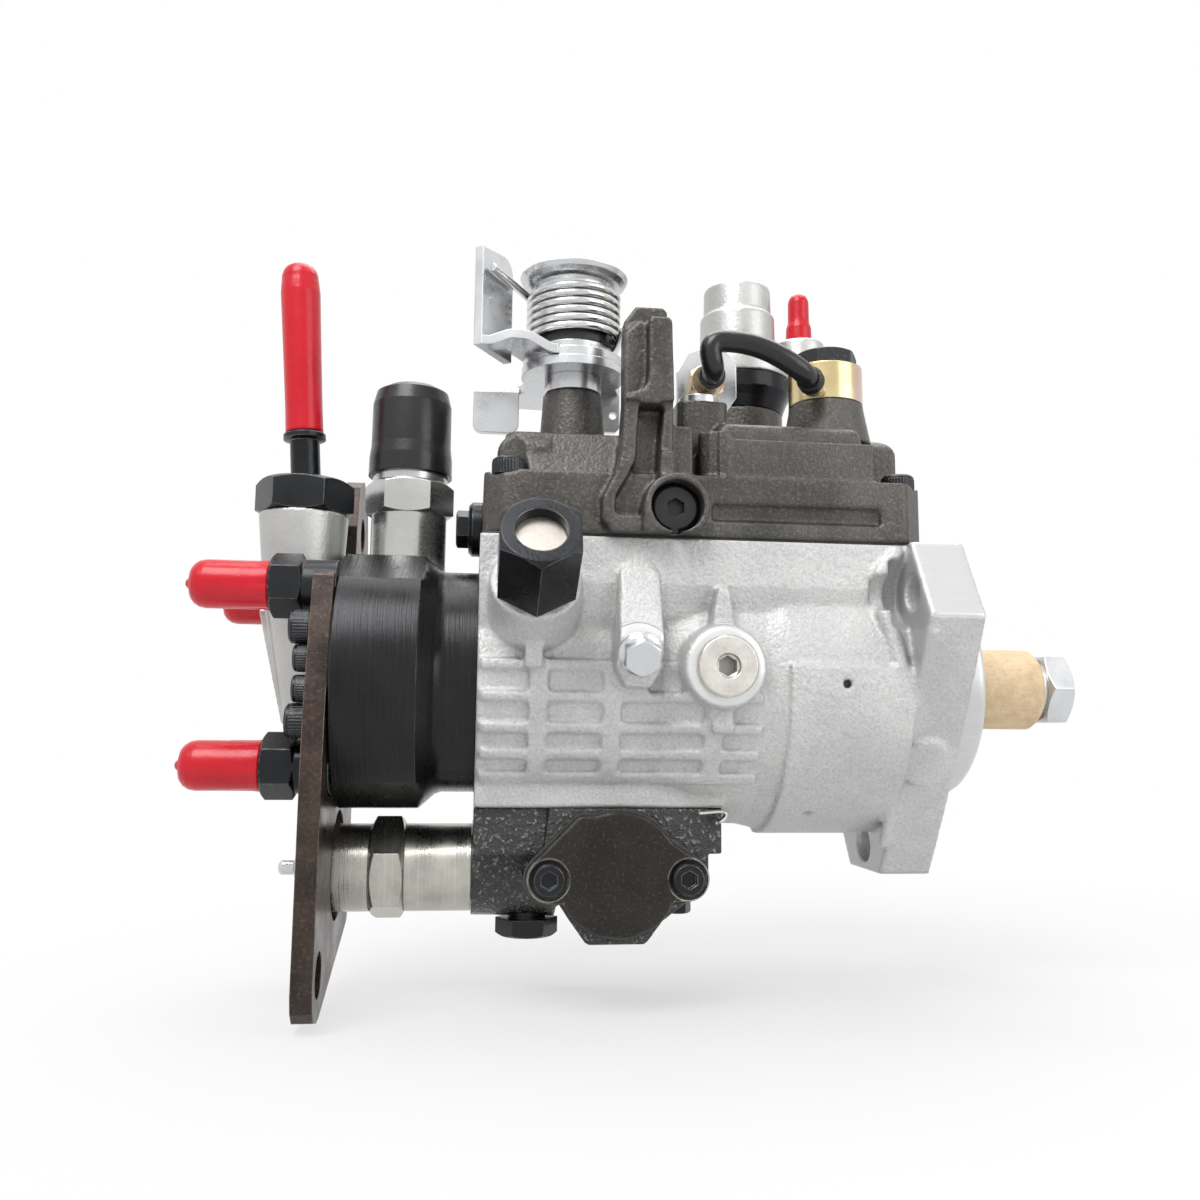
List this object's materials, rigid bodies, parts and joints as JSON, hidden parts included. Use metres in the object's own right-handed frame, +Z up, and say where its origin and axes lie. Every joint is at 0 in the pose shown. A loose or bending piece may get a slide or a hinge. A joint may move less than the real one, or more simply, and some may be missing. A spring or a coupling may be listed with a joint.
{
  "type": "diesel fuel injection pump",
  "caption": "Rotary distributor diesel injection pump with eared mounting flange, cast housing, governor cover, throttle spring, solenoid and capped outlets.",
  "frame": {"origin": "centre of the mounting flange's front face, on the drive shaft axis", "axes": "+X along the shaft towards the drive end, +Z up towards the governor cover, +Y to the far side"},
  "size_m": [0.2858, 0.1338, 0.2466],
  "materials": {
    "cast_alloy": "matte",
    "dark_cast": "matte",
    "black_steel": "satin",
    "zinc_steel": "satin",
    "bright_steel": "satin",
    "brass": "satin",
    "black_plastic": "matte",
    "black_rubber": "matte",
    "red_vinyl": "gloss",
    "board": "matte",
    "gasket": "matte"
  },
  "bodies": {
    "pump": {"advance_cover": "black_steel", "advance_gasket": "gasket", "advance_housing": "dark_cast", "advance_plugs": "black_steel", "advance_screws": "black_steel", "advance_spring": "bright_steel", "banjo_bolt": "black_steel", "banjo_ring": "brass", "bleed_nipple": "zinc_steel", "boost_body": "black_steel", "boost_cover": "cast_alloy", "cold_start_sleeve": "zinc_steel", "cover_end_plug": "black_steel", "cover_gasket": "gasket", "cover_plug": "black_plastic", "cover_screws": "black_steel", "delivery_unions": "black_steel", "governor_cover": "dark_cast", "hydraulic_head": "black_steel", "inlet_cap_nut": "black_steel", "inlet_housing": "cast_alloy", "inlet_tube": "black_steel", "inlet_union": "black_steel", "leak_bracket": "zinc_steel", "leak_hose": "black_rubber", "leak_nut": "brass", "main_housing": "cast_alloy", "plate_screws": "black_steel", "shaft_bearing": "brass", "shaft_lock_bolt": "zinc_steel", "shaft_seal": "black_rubber", "side_plug": "zinc_steel", "solenoid_body": "zinc_steel", "support_plate": "black_steel", "union_disc": "zinc_steel", "wire_clip": "bright_steel"},
    "drive": {"drive_shaft": "bright_steel", "shaft_nut": "bright_steel", "shaft_sleeve": "board", "governor_weights": "bright_steel", "distributor_rotor": "bright_steel"},
    "throttle": {"throttle_shaft": "bright_steel", "throttle_bush": "bright_steel", "lower_lever": "zinc_steel", "throttle_lever": "zinc_steel", "spring_cup": "bright_steel", "spring_bush": "black_plastic", "throttle_spring": "bright_steel"},
    "valve": {"metering_valve": "bright_steel"},
    "cam": {"cam_ring": "bright_steel"},
    "piston": {"advance_piston": "bright_steel"},
    "plunger": {"solenoid_plunger": "bright_steel"},
    "diaphragm": {"boost_diaphragm": "bright_steel"},
    "inlet_plug": {"inlet_cap": "red_vinyl"},
    "solenoid_cover": {"solenoid_cap": "black_rubber"},
    "port_plug": {"port_cap": "red_vinyl"},
    "outlet_plug_1": {"outlet_cap_1": "red_vinyl"},
    "outlet_plug_2": {"outlet_cap_2": "red_vinyl"},
    "outlet_plug_3": {"outlet_cap_3": "red_vinyl"},
    "outlet_plug_4": {"outlet_cap_4": "red_vinyl"}
  },
  "joints": [
    {"name": "shaft_spin", "type": "hinge", "parent": "pump", "child": "drive", "pos_m": [0, 0, 0], "axis": [1, 0, 0], "continuous": true},
    {"name": "throttle_turn", "type": "hinge", "parent": "pump", "child": "throttle", "pos_m": [-0.1153, -0.013, 0.1], "axis": [0, 0, 1], "range_deg": [-45, 0], "stiffness_Nm_per_rad": 0.3, "springref_deg": 22.92},
    {"name": "valve_turn", "type": "hinge", "parent": "pump", "child": "valve", "pos_m": [-0.136, 0.006, 0.03], "axis": [0, 0, 1], "range_deg": [-27.5, 0.5]},
    {"name": "cam_turn", "type": "hinge", "parent": "pump", "child": "cam", "pos_m": [-0.1015, 0, 0], "axis": [1, 0, 0], "range_deg": [-3.9, 3.9]},
    {"name": "advance_slide", "type": "slide", "parent": "pump", "child": "piston", "axis": [0, 1, 0], "range_m": [-0.004, 0.004], "deforming": ["advance_spring"]},
    {"name": "plunger_lift", "type": "slide", "parent": "pump", "child": "plunger", "axis": [0, 0, 1], "range_m": [0, 0.002], "stiffness_N_per_m": 500, "springref_m": -0.004},
    {"name": "diaphragm_stroke", "type": "slide", "parent": "pump", "child": "diaphragm", "axis": [0, 0, 1], "range_m": [-0.005, 0], "stiffness_N_per_m": 800, "springref_m": 0.003},
    {"name": "inlet_cap_pull", "type": "slide", "parent": "pump", "child": "inlet_plug", "axis": [-0.0698, 0, 0.9976], "range_m": [0, 0.021]},
    {"name": "solenoid_cap_pull", "type": "slide", "parent": "pump", "child": "solenoid_cover", "axis": [0, 0, 1], "range_m": [0, 0.018]},
    {"name": "port_cap_pull", "type": "slide", "parent": "pump", "child": "port_plug", "axis": [0, 0, 1], "range_m": [0, 0.0145]},
    {"name": "outlet_cap_1_pull", "type": "slide", "parent": "pump", "child": "outlet_plug_1", "axis": [-1, 0, 0], "range_m": [0, 0.016]},
    {"name": "outlet_cap_2_pull", "type": "slide", "parent": "pump", "child": "outlet_plug_2", "axis": [-1, 0, 0], "range_m": [0, 0.016]},
    {"name": "outlet_cap_3_pull", "type": "slide", "parent": "pump", "child": "outlet_plug_3", "axis": [-1, 0, 0], "range_m": [0, 0.016]},
    {"name": "outlet_cap_4_pull", "type": "slide", "parent": "pump", "child": "outlet_plug_4", "axis": [-1, 0, 0], "range_m": [0, 0.016]}
  ],
  "couplings": [
    {"joint": "valve_turn", "follows": "throttle_turn", "ratio": 0.6},
    {"joint": "advance_slide", "follows": "cam_turn", "m_per_rad": 0.0583}
  ]
}
